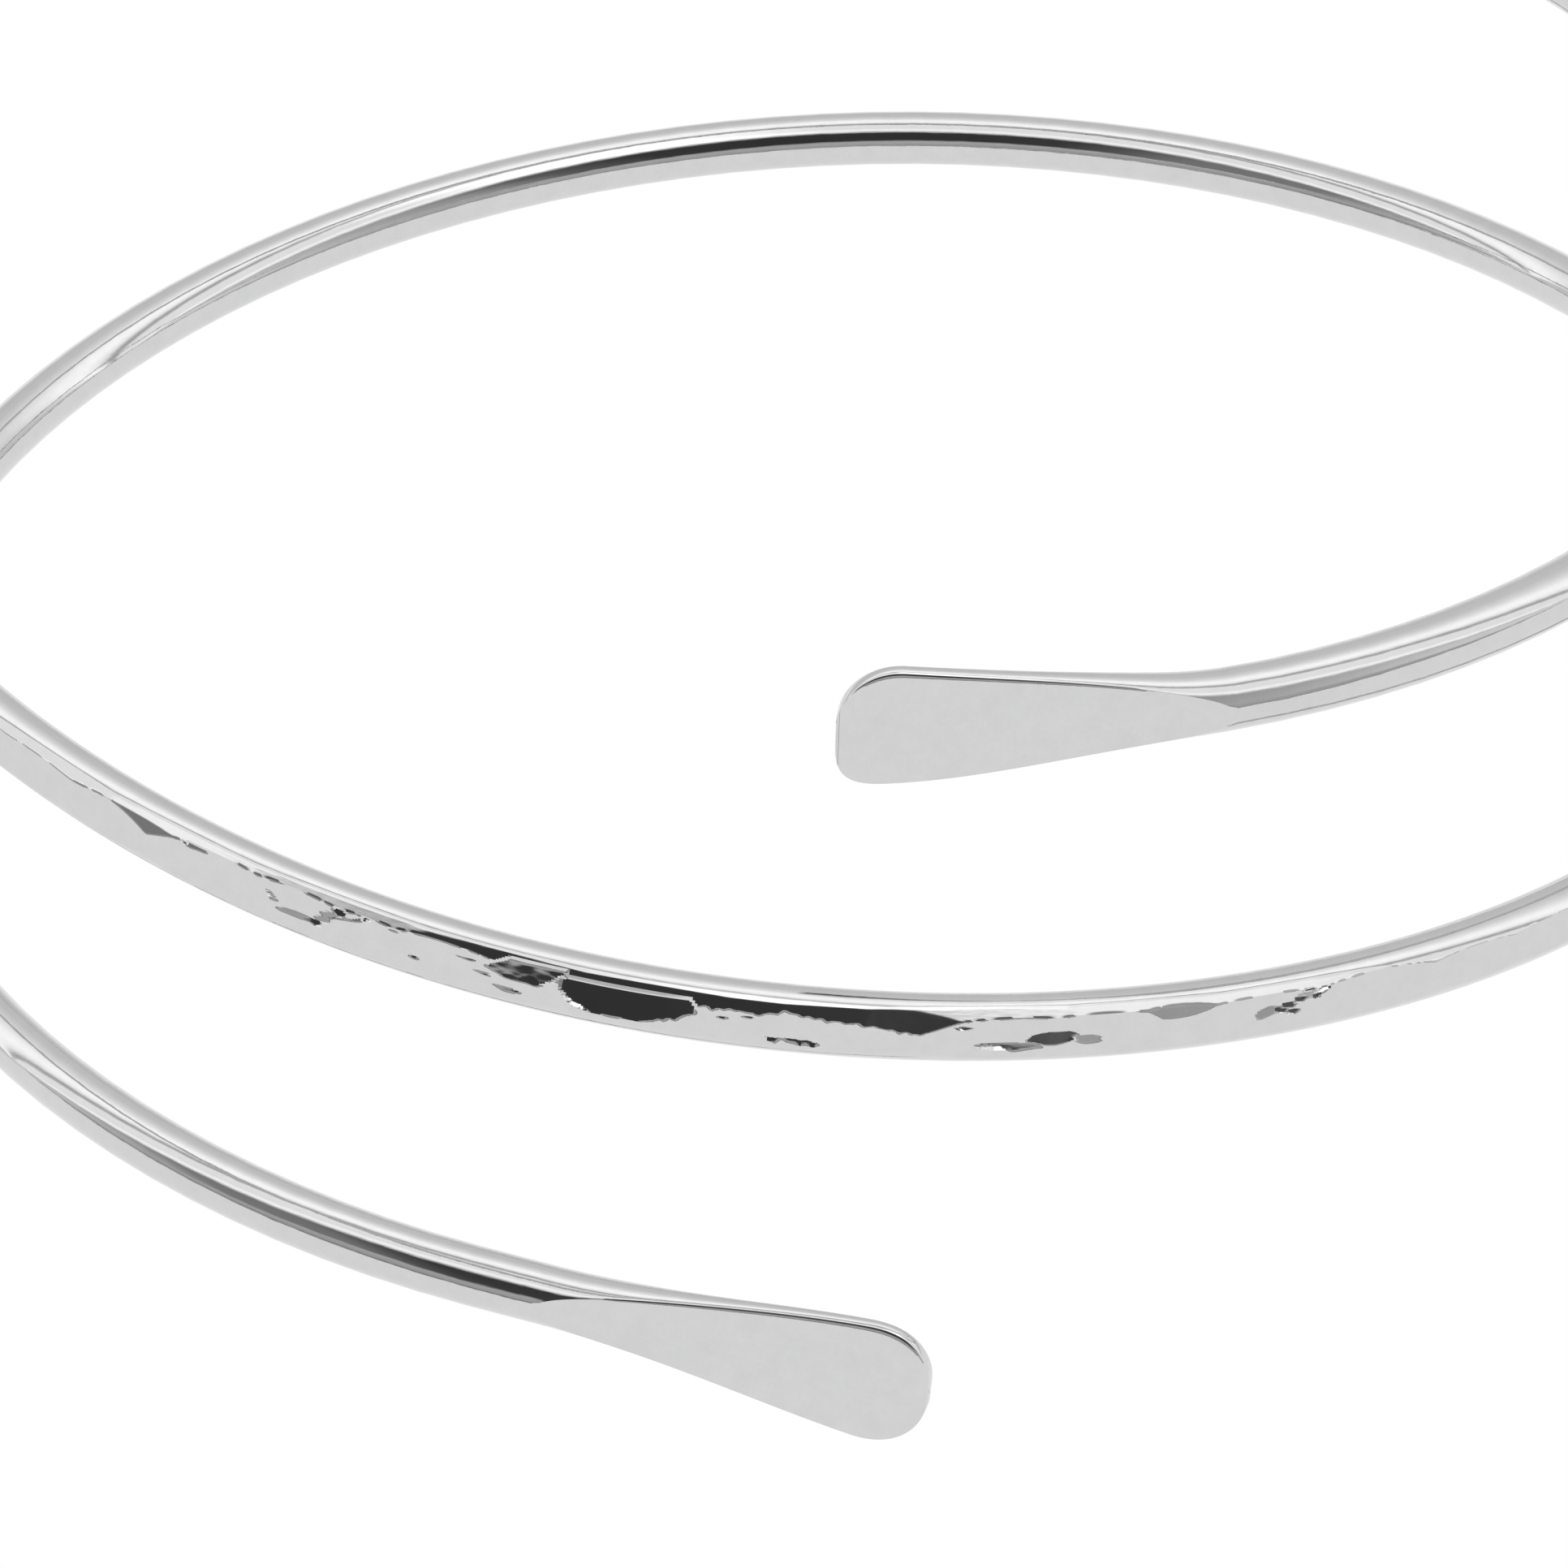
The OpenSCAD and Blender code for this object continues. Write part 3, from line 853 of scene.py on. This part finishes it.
# %% Bands of the tent, by the angle from level in front, over the top, to level behind
BANDS = [  # angle in degrees, light
    (-180, 0.76),
    (-100, 0.82),
    (-60, 0.95),
    (-14, 0.97),
    (-10, 0.30),
    (-7, 0.28),
    (-3, 0.45),
    (8, 0.50),
    (14, 0.55),
    (30, 0.60),
    (50, 0.60),
    (57, 0.85),
    (61, 1.35),
    (66, 1.35),
    (71, 1.12),
    (87, 1.15),
    (91, 0.55),
    (94, 0.55),
    (99, 1.25),
    (105, 1.45),
    (111, 1.40),
    (117, 1.20),
    (123, 1.02),
    (130, 0.90),
    (138, 0.80),
    (150, 0.77),
    (160, 0.73),
    (180, 0.78),
]
window_low, window_high = (12, 19), (50, 57)
WINDOW = [  # angle to the side in degrees, to the left in front, and light
    (-90, 0.95),
    (-72, 0.88),
    (-62, 0.76),
    (-52, 0.62),
    (-36, 0.42),
    (-26, 0.15),
    (-15, 0.055),
    (0, 0.045),
    (16, 0.045),
    (28, 0.06),
    (34, 0.12),
    (42, 0.24),
    (58, 0.28),
    (72, 0.60),
    (90, 0.85),
]
lamp_low, lamp_high = (57, 63), (90, 100)
LAMP = [  # angle to the side in degrees, to the left in front, and how much it brightens the bands there
    (-90, 1.00),
    (-27, 1.00),
    (-18, 1.45),
    (-3, 1.45),
    (6, 1.00),
    (90, 1.00),
]


def light_ramp(nodes, value, rows, low, high):
    """Light by angle: a colour ramp with one stop for each row. Its stops hold half the light."""
    node = nodes.nodes.new("ShaderNodeValToRGB")
    stops = node.color_ramp.elements
    while len(stops) < len(rows):
        stops.new(1)
    for stop, (angle, light) in zip(stops, rows):
        stop.position = (angle - low) / (high - low)
        stop.color = (light / 2, light / 2, light / 2, 1)
    plug(nodes, node.inputs[0], ramp(nodes, value, low, high, 0, 1))
    return Term(nodes, node.outputs[0]) * 2


def tent(world):
    """Shines on the cuff by bands, and shows plain white to the camera."""
    world.use_nodes = True
    nodes = world.node_tree
    nodes.nodes.clear()
    direction = Term(nodes, nodes.nodes.new("ShaderNodeTexCoord").outputs["Generated"])

    def toward(way):
        node = nodes.nodes.new("ShaderNodeVectorMath")
        node.operation = "DOT_PRODUCT"
        plug(nodes, node.inputs[0], direction)
        node.inputs[1].default_value = tuple(way)
        return Term(nodes, node.outputs["Value"])

    up = Vector(coil_axis)
    front = (Vector(camera_back) - up * up.dot(Vector(camera_back))).normalized()
    left = front.cross(up)
    over = toward(up).math("ARCTAN2", toward(front)) * (180 / pi)
    sideways = toward(left).math("ARCSINE") * (180 / pi)
    bands = light_ramp(nodes, over, BANDS, -180, 180)
    window = light_ramp(nodes, sideways, WINDOW, -90, 90)
    lamp = light_ramp(nodes, sideways, LAMP, -90, 90)
    near_lamp = ramp(nodes, over, *lamp_low, 0, 1) * ramp(nodes, over, *lamp_high, 1, 0)
    bands = bands * (near_lamp * (lamp - 1) + 1)
    inside = ramp(nodes, over, *window_low, 0, 1) * ramp(nodes, over, *window_high, 1, 0)
    light = bands + (window - bands) * inside
    seen = add_node(nodes, "ShaderNodeLightPath")
    light = light + (light * -1 + 1) * Term(nodes, seen.outputs["Is Camera Ray"])
    glow = nodes.nodes.new("ShaderNodeBackground")
    glow.inputs["Color"].default_value = (1, 1, 1, 1)
    plug(nodes, glow.inputs["Strength"], light)
    out = nodes.nodes.new("ShaderNodeOutputWorld")
    nodes.links.new(glow.outputs[0], out.inputs[0])


# %% Light the scene
world = bpy.data.worlds.new("tent")
bpy.context.scene.world = world
tent(world)
bpy.context.scene.view_settings.view_transform = "Standard"
print("bands of light:", len(BANDS))

# %% [markdown]
# ## Floor
# A plain white table top, lit so brightly that it is as white as the tent.

# %% The floor
floor_half = 0.5
floor_gap = 0.02 * MM
floor_glow = 1.0


def table_top():
    corners = [(x * floor_half, y * floor_half, -floor_gap)
               for x, y in ((-1, -1), (1, -1), (1, 1), (-1, 1))]
    mesh = bpy.data.meshes.new("floor")
    mesh.from_pydata(corners, [], [(0, 1, 2, 3)])
    floor = bpy.data.objects.new("floor", mesh)
    bpy.context.scene.collection.objects.link(floor)
    material = bpy.data.materials.new("white_floor")
    material.use_nodes = True
    shader = material.node_tree.nodes["Principled BSDF"]
    shader.inputs["Base Color"].default_value = (0, 0, 0, 1)
    shader.inputs["Specular IOR Level"].default_value = 0
    shader.inputs["Emission Color"].default_value = (1, 1, 1, 1)
    shader.inputs["Emission Strength"].default_value = floor_glow
    mesh.materials.append(material)


table_top()
